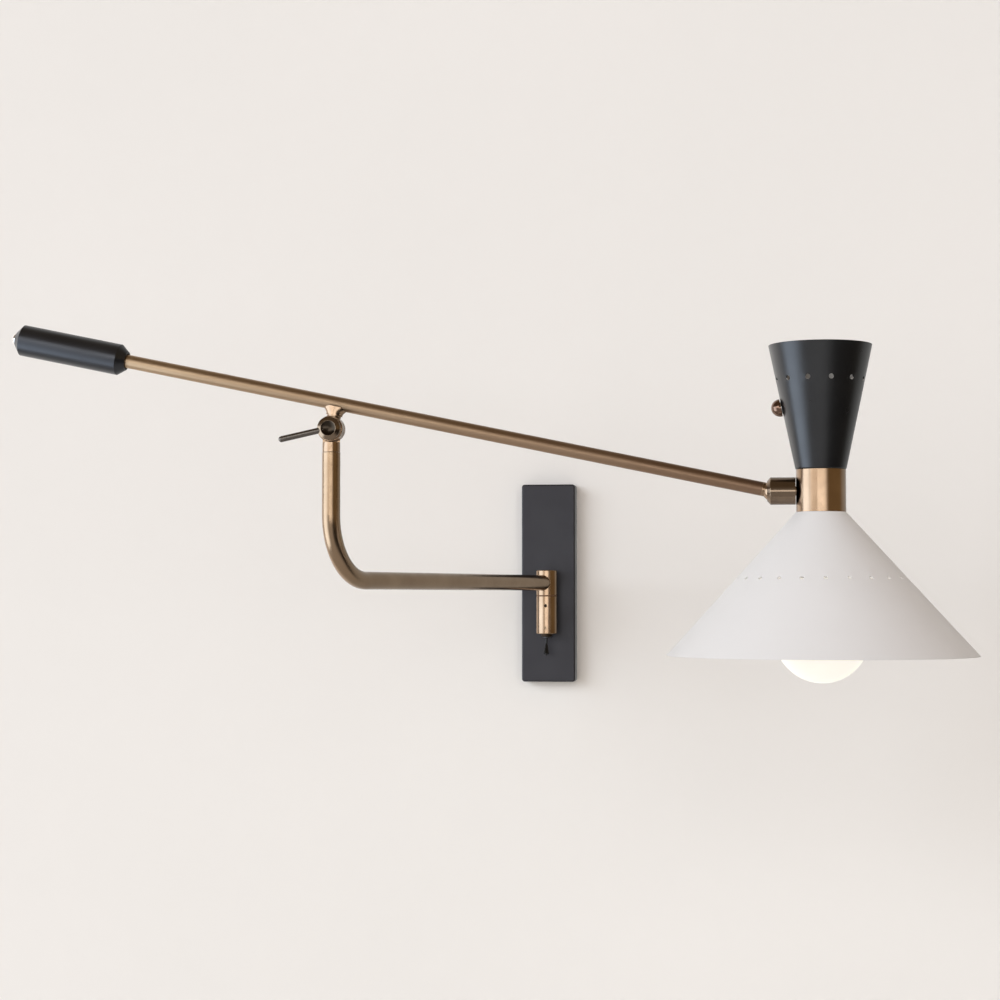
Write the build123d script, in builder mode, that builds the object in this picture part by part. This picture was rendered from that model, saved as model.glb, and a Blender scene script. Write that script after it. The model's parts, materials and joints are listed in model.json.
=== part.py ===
from build123d import *
import os
from math import acos, atan2, cos, hypot, pi, radians, sin, sqrt

# Adjustable wall lamp with a counterweighted arm. The wall is the plane Y = 0 and the room is on its -Y side.
# The origin is the centre of the strap's back, at the height of the lower arm. Sizes are in millimetres.

# Pose in which the lamp stands
ARM_HEADING = 20.5
ARM_TILT = 11.85
TOGGLE_LEAN = 11.0
LEVER_DROP = 12.2

# Clearances
RUN_GAP = 0.05
BRAZE_GAP = 0.03
SEAT_GAP = 0.1
FREE_GAP = 0.3

# Hexagon nuts
NUT_SIDES = 6

# Wall plate, a box open at the back
PLATE_WIDTH = 56.0
PLATE_HEIGHT = 206.4
PLATE_DEPTH = 19.0
PLATE_WALL = 2.5
PLATE_CORNER = 3.0
PLATE_EDGE = 1.6

# Mounting strap behind the plate
STRAP_WIDTH = 30.0
STRAP_THICK = 2.5
STRAP_TAB = 12.0
STRAP_BEND = 1.5
STRAP_CLEARANCE = 0.4
BOX_SCREW_SPACING = 83.3
BOX_SCREW_HOLE = 4.6
WIRE_HOLE = 16.0
WIRE_HOLE_HEIGHT = 21.0

# Screws that hold the plate on the strap
PLATE_SCREW = 4.0
PLATE_SCREW_LENGTH = 7.0
PLATE_SCREW_RECESS = 0.4
PLATE_SCREW_OFF_WALL = 8.0
SOCKET_SHARE = 0.5

# Terminal block and earth screw on the strap
BLOCK_WIDTH = 24.0
BLOCK_DEPTH = 11.0
BLOCK_HEIGHT = 15.0
BLOCK_FROM_STRAP_END = 32.5
BLOCK_WAYS = 3
BLOCK_WIRE_HOLE = 3.4
BLOCK_WIRE_DEPTH = 5.0
BLOCK_SCREW_HOLE = 3.8
BLOCK_SCREW_DEPTH = 3.3
EARTH_SCREW = 4.0
EARTH_HEAD = 7.5
EARTH_HEAD_HEIGHT = 2.6
EARTH_HEAD_ROUND = 1.0
EARTH_FROM_STRAP_END = 32.5

# Wall pivot: a fixed lower barrel and a turning upper barrel
BARREL_DIAMETER = 22.0
BARREL_OFF_WALL = 34.0
BARREL_CHAMFER = 0.5
UPPER_BARREL_HEIGHT = 26.0
UPPER_BARREL_BORE = 18.0
UPPER_BARREL_FLOOR = 4.0
BARREL_CAP_THICK = 3.0
FRICTION_WASHER = 0.8
LOWER_BARREL_HEIGHT = 39.0
LOWER_BARREL_BORE = 17.6
BEARING_LENGTH = 15.2
PIVOT_DIAMETER = 10.0
PIVOT_BORE = 7.0
PIVOT_TAIL = 6.0
THRUST_WASHER = 0.8
THRUST_WASHER_DIAMETER = 15.5
PIVOT_NUT_FLATS = 14.0
PIVOT_NUT_HEIGHT = 4.0
SET_SCREW = 3.2
SET_SCREW_BELOW_TOP = 10.0
GROOVE_DEPTH = 0.8
GROOVE_WIDTH = 4.2
PLUG_SCREW = 2.0
PLUG_SCREW_ABOVE_BOTTOM = 6.0
PLUG_SCREW_BITE = 2.5

# Hollow stud that carries the barrel on the plate
STUD_DIAMETER = 10.0
STUD_BORE = 7.0
STUD_ABOVE_BOTTOM = 16.0
STUD_TAIL = 1.5
STUD_NUT_FLATS = 14.0
STUD_NUT_HEIGHT = 4.0
STUD_WASHER_DIAMETER = 20.0
STUD_WASHER_THICK = 1.5
SPACER_DIAMETER = 14.0

# Toggle switch in the lower barrel
SWITCH_PLUG_LENGTH = 9.0
SWITCH_WIDTH = 12.6
SWITCH_DEPTH = 7.0
SWITCH_HEIGHT = 6.5
SWITCH_TAG = 1.8
SWITCH_TAG_WIDTH = 2.0
SWITCH_TAG_THICK = 0.8
SWITCH_TAG_SPACING = 4.5
BUSHING_DIAMETER = 8.0
BUSHING_BORE = 5.2
BUSHING_REACH = 4.2
BUSHING_DEPTH = 8.0
TOGGLE_NUT_DIAMETER = 11.6
TOGGLE_NUT_HEIGHT = 3.2
TOGGLE_NUT_ROUND = 1.4
TOGGLE_BALL = 5.0
TOGGLE_PIVOT_DEPTH = 3.0
TOGGLE_NECK = 2.2
TOGGLE_NECK_LENGTH = 9.2
TOGGLE_BULB = 6.0
TOGGLE_LENGTH = 23.0

# Lower arm, one bent tube
POST_TUBE = 16.0
POST_WALL = 1.5
LOWER_ARM_REACH = 412.0
BEND_RADIUS = 57.0
KNUCKLE_HEIGHT = 132.0
POST_TOP_BELOW_KNUCKLE = 20.5

# Elbow: swivel spigot in the post and a two-eye knuckle
BUSH_LENGTH = 24.0
SPIGOT_DIAMETER = 10.0
SPIGOT_BORE = 6.0
SPIGOT_TAIL = 4.0
CLIP_THICK = 1.0
CLIP_DIAMETER = 12.4
CLIP_GROOVE = 0.5
FERRULE_DIAMETER = 15.6
EYE_DIAMETER = 22.6
EYE_THICK = 6.2
EYE_CHAMFER = 0.6
KNUCKLE_WASHER = 0.6
KNUCKLE_WASHER_DIAMETER = 18.0
CLAMP_SCREW = 6.0
CLAMP_HEAD_DIAMETER = 20.4
CLAMP_HEAD_THICK = 7.0
CLAMP_HEAD_BEVEL = 2.4
CLAMP_DISH_DIAMETER = 13.4
CLAMP_DISH_DEPTH = 1.6
CLAMP_NUT_FLATS = 11.0
CLAMP_NUT_HEIGHT = 4.5
LEVER_DIAMETER = 5.4
LEVER_LENGTH = 45.6
LEVER_ROOT = 4.5
LEVER_TIP_ROUND = 2.5
STUB_CORE = 12.4
STUB_NECK = 0.4
STUB_WIDTH = 14.7
STUB_DEPTH = 13.2
STUB_WRAP = 3.3
FLARE_HALFWAY = 0.4
FLARE_UNDER_TUBE = 2.4
FLARE_REACH = 3.2

# Long arm and counterweight
ARM_TUBE = 12.0
ARM_WALL = 1.0
ARM_ABOVE_KNUCKLE = 23.0
WEIGHT_FROM_KNUCKLE = 194.2
WEIGHT_LENGTH = 104.1
WEIGHT_DIAMETER = 27.6
WEIGHT_INNER_FACE = 16.6
WEIGHT_OUTER_FACE = 13.2
WEIGHT_INNER_TAPER = 7.0
WEIGHT_OUTER_TAPER = 6.0
WEIGHT_RECESS_DIAMETER = 14.0
WEIGHT_RECESS_DEPTH = 2.5
WEIGHT_GRIP = 62.0
FINIAL_DIAMETER = 12.4
FINIAL_HEIGHT = 4.2
FINIAL_STEM = 5.0
FINIAL_STEM_LENGTH = 14.0

# Ball swivel at the end of the long arm
BALL_FROM_KNUCKLE = 386.5
BALL_DIAMETER = 18.0
BALL_NECK = 2.4
BALL_STEM_LENGTH = 20.0
BALL_TO_HEAD_AXIS = 40.3
HOUSING_DIAMETER = 23.4
HOUSING_BORE = 19.2
HOUSING_END_WALL = 3.0
NOSE_REACH = 5.0
NOSE_TAPER = 2.8
NOSE_MOUTH = 16.0
NOSE_LIP = 0.35
NOSE_SPIGOT = 2.0
SEAT_START = 2.5
SEAT_LENGTH = 5.0
SEAT_STEP_DIAMETER = 16.4
SEAT_BORE = 13.0
SWIVEL_STUD = 8.0
SWIVEL_STUD_BORE = 5.0
SWIVEL_FLANGE = 12.0
SWIVEL_FLANGE_THICK = 2.2
SWIVEL_NUT_FLATS = 12.0
SWIVEL_NUT_HEIGHT = 3.5

# Head: collar, cup and cone on one centre tube
COLLAR_DIAMETER = 42.0
COLLAR_HEIGHT = 36.0
COLLAR_WALL = 3.0
CUP_HEIGHT = 105.6
CUP_TOP_DIAMETER = 87.4
CUP_FOOT_DIAMETER = 42.8
CUP_FOOT_ROUND = 1.6
CUP_HOLES = 12
CUP_HOLE_PHASE = 0.45
CUP_HOLE_DIAMETER = 4.2
CUP_HOLES_BELOW_RIM = 29.8
CONE_HEIGHT = 121.3
CONE_RIM_DIAMETER = 262.0
CONE_TOP_DIAMETER = 42.0
CONE_HOLES = 23
CONE_HOLE_PHASE = 0.143
CONE_HOLE_DIAMETER = 3.4
CONE_HOLES_BELOW_TOP = 56.0
SHEET = 1.2
SHEET_CUT = 3.6
NIPPLE_DIAMETER = 10.0
NIPPLE_BORE = 7.0
NIPPLE_ABOVE_CUP_FLOOR = 9.0
NIPPLE_NUT_FLATS = 14.0
NIPPLE_NUT_HEIGHT = 4.0
CUP_WASHER_DIAMETER = 24.0
CUP_WASHER_THICK = 1.5

# Lampholder and bulb
HOLDER_DIAMETER = 39.0
HOLDER_NECK_DIAMETER = 22.0
HOLDER_NECK_LENGTH = 6.3
HOLDER_SKIRT = 5.4
HOLDER_ROUND = 1.0
HOLDER_CAP_HEIGHT = 18.0
HOLDER_BODY_HEIGHT = 32.0
HOLDER_WALL = 2.6
HOLDER_FLOOR = 4.0
HOLDER_THREAD = 8.0
SLEEVE_OUTER = 29.0
SLEEVE_WALL = 0.6
SLEEVE_HEIGHT = 27.0
CONTACT_DIAMETER = 9.0
CONTACT_HEIGHT = 2.0
BULB_DIAMETER = 80.0
BULB_CENTRE_BELOW_FITTING = 122.5
BULB_CAP_DIAMETER = 26.6
BULB_CAP_LENGTH = 24.0
BULB_CAP_TIP = 2.5
BULB_CAP_WALL = 1.0
BULB_CAP_TIP_DIAMETER = 10.0
BULB_NECK_DIAMETER = 31.0
BULB_GLASS = 1.2

# Rotary switch in the cup wall
KNOB_ABOVE_FITTING = 71.0
KNOB_DIAMETER = 15.0
KNOB_HEIGHT = 8.4
KNOB_EDGE = 1.4
KNOB_STAND_OFF = 0.6
KNOB_RECESS_DIAMETER = 11.4
KNOB_RECESS_DEPTH = 2.0
ROTARY_DIAMETER = 15.0
ROTARY_LENGTH = 12.0
ROTARY_STAND_OFF = 1.2
ROTARY_BUSHING = 7.0
ROTARY_BUSHING_REACH = 1.9
ROTARY_SHAFT = 3.0
ROTARY_SHAFT_DEPTH = 5.0
ROTARY_SHAFT_BITE = 2.5
ROTARY_NUT_DIAMETER = 10.4
ROTARY_NUT_THICK = 1.5

# Frames of the chain, from the wall to the head
heading = radians(ARM_HEADING)
tilt = radians(ARM_TILT)
up = Vector(0, 0, 1)
into_wall = Vector(0, 1, 0)
lower_arm_way = Vector(-sin(heading), -cos(heading), 0)
long_arm_way = Vector(cos(tilt), 0, -sin(tilt))
long_arm_up = Vector(sin(tilt), 0, cos(tilt))

barrel_foot = Vector(0, -BARREL_OFF_WALL, 0)
post_foot = barrel_foot + lower_arm_way * LOWER_ARM_REACH
knuckle = post_foot + up * KNUCKLE_HEIGHT
arm_middle = knuckle + long_arm_up * ARM_ABOVE_KNUCKLE
ball_centre = arm_middle + long_arm_way * BALL_FROM_KNUCKLE
head_centre = ball_centre + Vector(BALL_TO_HEAD_AXIS, 0, 0)


def lathe_plane(origin, axis):
    """Plane for turned outlines: its points are (radius, distance along the axis)."""
    side = Vector(1, 0, 0) if abs(axis.X) < abs(axis.Y) + abs(axis.Z) else Vector(0, -1, 0)
    side = (side - axis * side.dot(axis)).normalized()
    return Plane(origin=origin, x_dir=side, z_dir=side.cross(axis))


def spin_axis(plane):
    """Turning axis of a lathe plane."""
    return Axis(plane.origin, plane.y_dir)


def outline(plane, *points):
    """Face with straight sides through the given points of a plane."""
    with BuildSketch(plane) as profile:
        with BuildLine():
            Polyline(*points, close=True)
        make_face()
    return profile.sketch


def ring_outline(plane, outer, bore, low, high):
    """Half section of a ring of two diameters between two heights."""
    return outline(plane, (bore / 2, low), (outer / 2, low), (outer / 2, high), (bore / 2, high))


def rod_outline(plane, diameter, low, high):
    """Half section of a round bar between two heights."""
    return outline(plane, (0, low), (diameter / 2, low), (diameter / 2, high), (0, high))


wall_lathe = lathe_plane(barrel_foot, up)
post_lathe = lathe_plane(post_foot, up)
knuckle_lathe = lathe_plane(knuckle, -into_wall)
arm_lathe = lathe_plane(arm_middle, long_arm_way)
stub_lathe = lathe_plane(knuckle, long_arm_up)
fitting_lathe = lathe_plane(ball_centre, Vector(1, 0, 0))
head_lathe = lathe_plane(head_centre, up)

made = {}


def finish(name, part):
    """Labels a finished piece and keeps it for writing."""
    part.label = name
    made[name] = part


# Wall plate
upper_bottom = -UPPER_BARREL_HEIGHT / 2
upper_top = UPPER_BARREL_HEIGHT / 2
lower_top = upper_bottom - FRICTION_WASHER
lower_bottom = lower_top - LOWER_BARREL_HEIGHT
stud_height = lower_bottom + STUD_ABOVE_BOTTOM
plate_front = -PLATE_DEPTH
plate_inner = plate_front + PLATE_WALL
inner_corner = max(PLATE_CORNER - PLATE_WALL, RUN_GAP)

with BuildPart() as wall_plate:
    with BuildSketch(Plane.XZ):
        RectangleRounded(PLATE_WIDTH, PLATE_HEIGHT, PLATE_CORNER)
    extrude(amount=PLATE_DEPTH)
    fillet(wall_plate.faces().sort_by(Axis.Y)[0].edges(), PLATE_EDGE)
    with BuildSketch(Plane.XZ):
        RectangleRounded(PLATE_WIDTH - 2 * PLATE_WALL, PLATE_HEIGHT - 2 * PLATE_WALL, inner_corner)
    extrude(amount=PLATE_DEPTH - PLATE_WALL, mode=Mode.SUBTRACT)
    with BuildSketch(Plane.XZ):
        with Locations((0, stud_height)):
            Circle(STUD_DIAMETER / 2 + SEAT_GAP)
    extrude(amount=PLATE_DEPTH, mode=Mode.SUBTRACT)
    with BuildSketch(Plane.XY):
        with Locations((0, -PLATE_SCREW_OFF_WALL)):
            Circle(PLATE_SCREW / 2 + SEAT_GAP)
    extrude(amount=PLATE_HEIGHT / 2, both=True, mode=Mode.SUBTRACT)
finish("wall_plate", wall_plate.part)

# Mounting strap, a bent steel bar
tab_outside = PLATE_HEIGHT / 2 - PLATE_WALL - STRAP_CLEARANCE
block_height = tab_outside - BLOCK_FROM_STRAP_END
earth_height = EARTH_FROM_STRAP_END - tab_outside

with BuildPart() as mounting_strap:
    with BuildSketch(Plane.XZ):
        Rectangle(STRAP_WIDTH, 2 * tab_outside)
    extrude(amount=STRAP_THICK)
    with BuildSketch(Plane.XZ.offset(STRAP_THICK)):
        with Locations((0, tab_outside - STRAP_THICK / 2), (0, STRAP_THICK / 2 - tab_outside)):
            Rectangle(STRAP_WIDTH, STRAP_THICK)
    extrude(amount=STRAP_TAB - STRAP_THICK)
    bends = mounting_strap.edges().filter_by(Axis.X).filter_by_position(Axis.Y, -STRAP_THICK, 0)
    fillet(bends.group_by(Axis.Z)[0] + bends.group_by(Axis.Z)[-1], STRAP_BEND)
    with BuildSketch(Plane.XZ):
        with Locations((0, BOX_SCREW_SPACING / 2), (0, -BOX_SCREW_SPACING / 2)):
            Circle(BOX_SCREW_HOLE / 2)
        with Locations((0, WIRE_HOLE_HEIGHT), (0, -WIRE_HOLE_HEIGHT)):
            Circle(WIRE_HOLE / 2)
        with Locations((0, earth_height)):
            Circle(EARTH_SCREW / 2)
    extrude(amount=STRAP_THICK, mode=Mode.SUBTRACT)
    with BuildSketch(Plane.XY):
        with Locations((0, -PLATE_SCREW_OFF_WALL)):
            Circle(PLATE_SCREW / 2)
    extrude(amount=tab_outside, both=True, mode=Mode.SUBTRACT)
finish("mounting_strap", mounting_strap.part)

# Headless screws through the plate's ends into the strap's tabs
with BuildPart() as plate_screws:
    for end in (1, -1):
        screw_lathe = lathe_plane(
            Vector(0, -PLATE_SCREW_OFF_WALL, end * (PLATE_HEIGHT / 2 - PLATE_SCREW_RECESS)), up * -end
        )
        revolve(
            outline(
                screw_lathe,
                (0, PLATE_SCREW * SOCKET_SHARE),
                (PLATE_SCREW * SOCKET_SHARE / 2, PLATE_SCREW * SOCKET_SHARE),
                (PLATE_SCREW * SOCKET_SHARE / 2, 0),
                (PLATE_SCREW / 2 - RUN_GAP, 0),
                (PLATE_SCREW / 2 - RUN_GAP, PLATE_SCREW_LENGTH),
                (0, PLATE_SCREW_LENGTH),
            ),
            axis=spin_axis(screw_lathe),
        )
finish("plate_screws", plate_screws.part)

# Terminal block for the supply wires, seated on the strap
with BuildPart() as terminal_block:
    with BuildSketch(Plane.XZ.offset(STRAP_THICK)):
        with Locations((0, block_height)):
            Rectangle(BLOCK_WIDTH, BLOCK_HEIGHT)
    extrude(amount=BLOCK_DEPTH)
    way_pitch = BLOCK_WIDTH / BLOCK_WAYS
    with BuildSketch(Plane.XY.offset(block_height)):
        with Locations((0, -STRAP_THICK - BLOCK_WIRE_DEPTH)):
            with GridLocations(way_pitch, 0, BLOCK_WAYS, 1):
                Circle(BLOCK_WIRE_HOLE / 2)
    extrude(amount=BLOCK_HEIGHT, both=True, mode=Mode.SUBTRACT)
    with BuildSketch(Plane.XZ.offset(STRAP_THICK + BLOCK_DEPTH)):
        with Locations((0, block_height)):
            with GridLocations(way_pitch, BLOCK_HEIGHT / 2, BLOCK_WAYS, 2):
                Circle(BLOCK_SCREW_HOLE / 2)
    extrude(amount=-BLOCK_SCREW_DEPTH, mode=Mode.SUBTRACT)
finish("terminal_block", terminal_block.part)

earth_lathe = lathe_plane(Vector(0, 0, earth_height), -into_wall)
with BuildPart() as earth_screw:
    revolve(
        outline(
            earth_lathe,
            (0, 0),
            (EARTH_SCREW / 2 - RUN_GAP, 0),
            (EARTH_SCREW / 2 - RUN_GAP, STRAP_THICK),
            (EARTH_HEAD / 2, STRAP_THICK),
            (EARTH_HEAD / 2, STRAP_THICK + EARTH_HEAD_HEIGHT),
            (0, STRAP_THICK + EARTH_HEAD_HEIGHT),
        ),
        axis=spin_axis(earth_lathe),
    )
    fillet(earth_screw.edges().group_by(Axis.Y)[0], EARTH_HEAD_ROUND)
finish("earth_screw", earth_screw.part)

# Fixed lower barrel
barrel_radius = BARREL_DIAMETER / 2
lower_bore = LOWER_BARREL_BORE / 2
bearing_bottom = lower_top - BEARING_LENGTH
set_screw_height = lower_top - SET_SCREW_BELOW_TOP
plug_screw_height = lower_bottom + PLUG_SCREW_ABOVE_BOTTOM
plug_top = lower_bottom + SWITCH_PLUG_LENGTH

with BuildPart() as pivot_barrel:
    revolve(
        outline(
            wall_lathe,
            (PIVOT_DIAMETER / 2 + RUN_GAP, lower_top),
            (PIVOT_DIAMETER / 2 + RUN_GAP, bearing_bottom),
            (lower_bore, bearing_bottom),
            (lower_bore, lower_bottom),
            (barrel_radius - BARREL_CHAMFER, lower_bottom),
            (barrel_radius, lower_bottom + BARREL_CHAMFER),
            (barrel_radius, lower_top - BARREL_CHAMFER / 2),
            (barrel_radius - BARREL_CHAMFER / 2, lower_top),
        ),
        axis=spin_axis(wall_lathe),
    )
    with BuildSketch(Plane(barrel_foot, x_dir=(1, 0, 0), z_dir=-into_wall)):
        with Locations((0, set_screw_height)):
            Circle(SET_SCREW / 2)
        with Locations((0, plug_screw_height)):
            Circle(PLUG_SCREW / 2)
    extrude(amount=BARREL_DIAMETER, mode=Mode.SUBTRACT)
    with BuildSketch(Plane(barrel_foot, x_dir=(1, 0, 0), z_dir=-into_wall)):
        with Locations((0, stud_height)):
            Circle(STUD_DIAMETER / 2 + BRAZE_GAP)
    extrude(amount=-BARREL_DIAMETER, mode=Mode.SUBTRACT)
finish("pivot_barrel", pivot_barrel.part)


def grub_screw(diameter, height, tip_radius):
    """Half section of a socketed headless screw in the front of the barrel, set in from its face."""
    lathe = lathe_plane(barrel_foot + up * height, -into_wall)
    outside = barrel_radius - diameter * SOCKET_SHARE / 2
    radius = diameter / 2 - RUN_GAP
    socket = diameter * SOCKET_SHARE / 2
    profile = outline(
        lathe,
        (0, tip_radius),
        (radius, tip_radius),
        (radius, outside),
        (socket, outside),
        (socket, outside - diameter * SOCKET_SHARE),
        (0, outside - diameter * SOCKET_SHARE),
    )
    return profile, spin_axis(lathe)


groove_floor = PIVOT_DIAMETER / 2 - GROOVE_DEPTH
plug_radius = lower_bore - RUN_GAP

with BuildPart() as pivot_set_screw:
    screw_profile, screw_axis = grub_screw(SET_SCREW, set_screw_height, groove_floor + SEAT_GAP)
    revolve(screw_profile, axis=screw_axis)
finish("pivot_set_screw", pivot_set_screw.part)

with BuildPart() as plug_screw:
    screw_profile, screw_axis = grub_screw(PLUG_SCREW, plug_screw_height, plug_radius - PLUG_SCREW_BITE)
    revolve(screw_profile, axis=screw_axis)
finish("plug_screw", plug_screw.part)

# Hollow stud, spacer, washer and nut that fix the barrel to the plate
stud_lathe = lathe_plane(Vector(0, 0, stud_height), -into_wall)
stud_tip = BARREL_OFF_WALL - lower_bore
washer_back = -plate_inner - STUD_WASHER_THICK
nut_back = washer_back - STUD_NUT_HEIGHT

with BuildPart() as barrel_stud:
    revolve(
        ring_outline(stud_lathe, STUD_DIAMETER, STUD_BORE, nut_back - STUD_TAIL, stud_tip),
        axis=spin_axis(stud_lathe),
    )
finish("barrel_stud", barrel_stud.part)

with BuildPart() as saddle_spacer:
    revolve(
        ring_outline(stud_lathe, SPACER_DIAMETER, STUD_DIAMETER + 2 * SEAT_GAP, PLATE_DEPTH, BARREL_OFF_WALL),
        axis=spin_axis(stud_lathe),
    )
    revolve(
        rod_outline(wall_lathe, BARREL_DIAMETER, lower_bottom, lower_top),
        axis=spin_axis(wall_lathe),
        mode=Mode.SUBTRACT,
    )
finish("saddle_spacer", saddle_spacer.part)

with BuildPart() as stud_washer:
    revolve(
        ring_outline(
            stud_lathe, STUD_WASHER_DIAMETER, STUD_DIAMETER + 2 * SEAT_GAP, washer_back, -plate_inner
        ),
        axis=spin_axis(stud_lathe),
    )
finish("stud_washer", stud_washer.part)


def hex_nut(plane, flats, bore, height):
    """Hexagon nut standing on a plane."""
    with BuildPart(mode=Mode.PRIVATE) as nut:
        with BuildSketch(plane):
            RegularPolygon(flats / 2, NUT_SIDES, major_radius=False)
            Circle(bore / 2, mode=Mode.SUBTRACT)
        extrude(amount=height)
    return nut.part


with BuildPart() as stud_nut:
    add(
        hex_nut(
            Plane((0, -nut_back, stud_height), x_dir=(1, 0, 0), z_dir=-into_wall),
            STUD_NUT_FLATS,
            STUD_DIAMETER + 2 * RUN_GAP,
            STUD_NUT_HEIGHT,
        )
    )
finish("stud_nut", stud_nut.part)

# Toggle switch, its plug and its round nut
bushing_mouth = lower_bottom - BUSHING_REACH

with BuildPart() as switch_plug:
    revolve(
        ring_outline(
            wall_lathe, 2 * plug_radius, BUSHING_DIAMETER + 2 * RUN_GAP, lower_bottom, plug_top
        ),
        axis=spin_axis(wall_lathe),
    )
    screw_seat = barrel_foot - into_wall * (plug_radius - PLUG_SCREW_BITE)
    with BuildSketch(Plane(screw_seat, x_dir=(1, 0, 0), z_dir=-into_wall)):
        with Locations((0, plug_screw_height)):
            Circle(PLUG_SCREW / 2)
    extrude(amount=PLUG_SCREW_BITE + SEAT_GAP, mode=Mode.SUBTRACT)
finish("switch_plug", switch_plug.part)

with BuildPart() as toggle_switch:
    with BuildSketch(Plane(barrel_foot + up * plug_top)):
        Rectangle(SWITCH_WIDTH, SWITCH_DEPTH)
    extrude(amount=SWITCH_HEIGHT)
    fillet(toggle_switch.edges().filter_by(Axis.Z), SWITCH_TAG_THICK)
    with BuildSketch(Plane(barrel_foot + up * (plug_top + SWITCH_HEIGHT))):
        with GridLocations(SWITCH_TAG_SPACING, 0, 2, 1):
            Rectangle(SWITCH_TAG_THICK, SWITCH_TAG_WIDTH)
    extrude(amount=SWITCH_TAG)
    revolve(
        rod_outline(wall_lathe, BUSHING_DIAMETER, bushing_mouth, plug_top),
        axis=spin_axis(wall_lathe),
    )
    revolve(
        rod_outline(wall_lathe, BUSHING_BORE, bushing_mouth, bushing_mouth + BUSHING_DEPTH),
        axis=spin_axis(wall_lathe),
        mode=Mode.SUBTRACT,
    )
finish("toggle_switch", toggle_switch.part)

with BuildPart() as toggle_nut:
    revolve(
        ring_outline(
            wall_lathe,
            TOGGLE_NUT_DIAMETER,
            BUSHING_DIAMETER + 2 * RUN_GAP,
            lower_bottom - TOGGLE_NUT_HEIGHT,
            lower_bottom,
        ),
        axis=spin_axis(wall_lathe),
    )
    fillet(toggle_nut.edges().group_by(Axis.Z)[0].sort_by(SortBy.LENGTH)[-1], TOGGLE_NUT_ROUND)
finish("toggle_nut", toggle_nut.part)

# Toggle lever: a pivot ball in the bushing, a thin neck and a drop-shaped end
toggle_pivot = barrel_foot + up * (bushing_mouth + TOGGLE_PIVOT_DEPTH)
lean = radians(TOGGLE_LEAN)
toggle_lathe = lathe_plane(toggle_pivot, Vector(0, -sin(lean), -cos(lean)))
bulb_radius = TOGGLE_BULB / 2
bulb_height = TOGGLE_LENGTH - bulb_radius

with BuildPart() as toggle_lever:
    with BuildSketch(toggle_lathe):
        with BuildLine():
            Line((0, -TOGGLE_BALL / 2), (0, TOGGLE_LENGTH))
            RadiusArc((0, TOGGLE_LENGTH), (bulb_radius, bulb_height), -bulb_radius)
            Line((bulb_radius, bulb_height), (TOGGLE_NECK / 2, TOGGLE_NECK_LENGTH))
            Line((TOGGLE_NECK / 2, TOGGLE_NECK_LENGTH), (TOGGLE_NECK / 2, 0))
            Line((TOGGLE_NECK / 2, 0), (TOGGLE_BALL / 2, 0))
            RadiusArc((TOGGLE_BALL / 2, 0), (0, -TOGGLE_BALL / 2), TOGGLE_BALL / 2)
        make_face()
    revolve(axis=spin_axis(toggle_lathe))
    add(Sphere(TOGGLE_BALL / 2, mode=Mode.PRIVATE).moved(Location(toggle_pivot)))
finish("toggle_lever", toggle_lever.part)

# Turning upper barrel with its pivot tube
upper_bore = UPPER_BARREL_BORE / 2
floor_top = upper_bottom + UPPER_BARREL_FLOOR
tube_radius = POST_TUBE / 2

with BuildPart() as swivel_barrel:
    revolve(
        outline(
            wall_lathe,
            (PIVOT_DIAMETER / 2 + BRAZE_GAP, upper_bottom),
            (barrel_radius - BARREL_CHAMFER / 2, upper_bottom),
            (barrel_radius, upper_bottom + BARREL_CHAMFER / 2),
            (barrel_radius, upper_top - BARREL_CHAMFER),
            (barrel_radius - BARREL_CHAMFER, upper_top),
            (upper_bore, upper_top),
            (upper_bore, floor_top),
            (PIVOT_DIAMETER / 2 + BRAZE_GAP, floor_top),
        ),
        axis=spin_axis(wall_lathe),
    )
    with BuildSketch(Plane(barrel_foot, x_dir=up, z_dir=lower_arm_way)):
        Circle(tube_radius + BRAZE_GAP)
    extrude(amount=BARREL_DIAMETER, mode=Mode.SUBTRACT)
finish("swivel_barrel", swivel_barrel.part)

with BuildPart() as barrel_cap:
    revolve(
        rod_outline(wall_lathe, UPPER_BARREL_BORE - 2 * BRAZE_GAP, upper_top - BARREL_CAP_THICK, upper_top),
        axis=spin_axis(wall_lathe),
    )
    chamfer(barrel_cap.edges().group_by(Axis.Z)[-1], BARREL_CHAMFER / 2)
finish("barrel_cap", barrel_cap.part)

thrust_top = bearing_bottom - SEAT_GAP
thrust_bottom = thrust_top - THRUST_WASHER
pivot_nut_bottom = thrust_bottom - PIVOT_NUT_HEIGHT
pivot_end = bearing_bottom - PIVOT_TAIL

with BuildPart() as pivot_tube:
    revolve(
        outline(
            wall_lathe,
            (PIVOT_BORE / 2, floor_top),
            (PIVOT_DIAMETER / 2, floor_top),
            (PIVOT_DIAMETER / 2, set_screw_height + GROOVE_WIDTH / 2),
            (groove_floor, set_screw_height + GROOVE_WIDTH / 2),
            (groove_floor, set_screw_height - GROOVE_WIDTH / 2),
            (PIVOT_DIAMETER / 2, set_screw_height - GROOVE_WIDTH / 2),
            (PIVOT_DIAMETER / 2, pivot_end),
            (PIVOT_BORE / 2, pivot_end),
        ),
        axis=spin_axis(wall_lathe),
    )
finish("pivot_tube", pivot_tube.part)

with BuildPart() as friction_washer:
    revolve(
        ring_outline(
            wall_lathe,
            BARREL_DIAMETER - 2 * BARREL_CHAMFER,
            PIVOT_DIAMETER + 2 * SEAT_GAP,
            lower_top + SEAT_GAP,
            upper_bottom,
        ),
        axis=spin_axis(wall_lathe),
    )
finish("friction_washer", friction_washer.part)

with BuildPart() as thrust_washer:
    revolve(
        ring_outline(
            wall_lathe, THRUST_WASHER_DIAMETER, PIVOT_DIAMETER + 2 * SEAT_GAP, thrust_bottom, thrust_top
        ),
        axis=spin_axis(wall_lathe),
    )
finish("thrust_washer", thrust_washer.part)

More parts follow.
